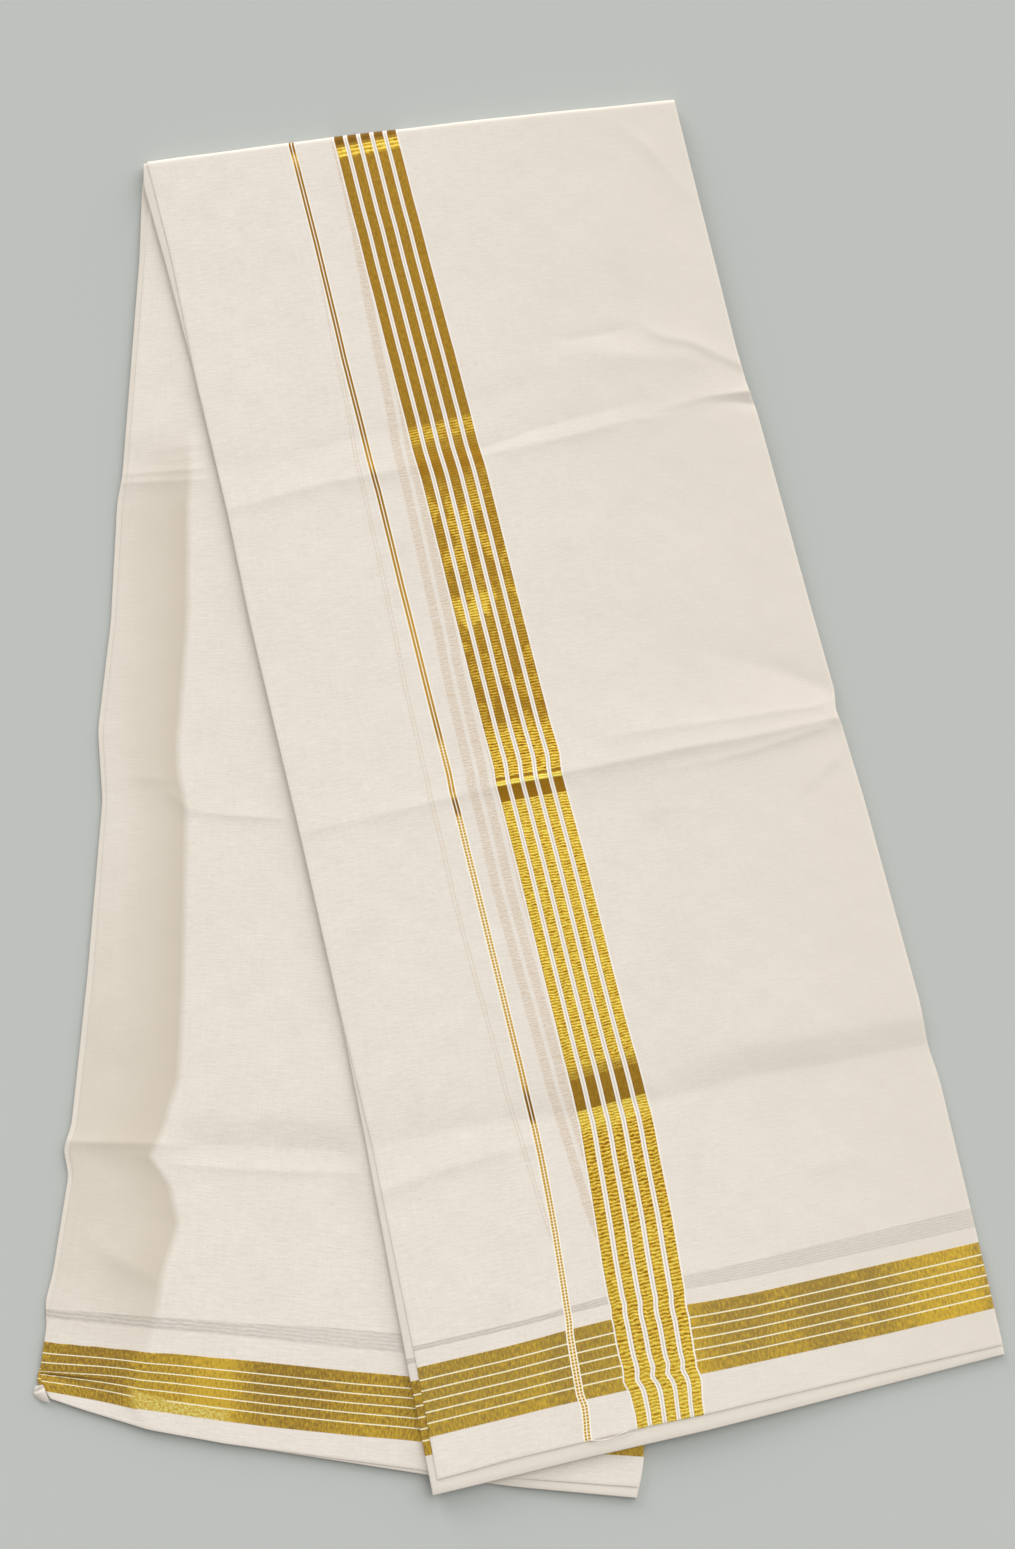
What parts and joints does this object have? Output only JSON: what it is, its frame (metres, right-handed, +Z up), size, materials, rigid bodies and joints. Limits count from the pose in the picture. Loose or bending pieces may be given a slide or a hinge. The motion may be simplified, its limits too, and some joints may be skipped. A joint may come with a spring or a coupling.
{
  "type": "dhoti cloth",
  "caption": "Cotton dhoti with woven gold borders, folded to a strip that is doubled over and fanned out flat; it is worn wrapped round the waist and legs.",
  "frame": {"origin": "middle of the footprint's bounding box, on the flat underside", "axes": "+Z up from the surface it lies on; the top fold is at +Y and the cut ends are at -Y; the front fall fans out towards +X"},
  "size_m": [0.7147, 1.0793, 0.0099],
  "materials": {
    "cotton_face": "plain-woven bleached cotton with gold zari borders woven in",
    "cotton_inner": "plain-woven bleached cotton, folded edges of the inner plies"
  },
  "bodies": {
    "root": {"front_fall_face": "cotton_face", "front_fall_layers": "cotton_inner", "rear_fall_face": "cotton_face", "rear_fall_layers": "cotton_inner"}
  },
  "joints": []
}
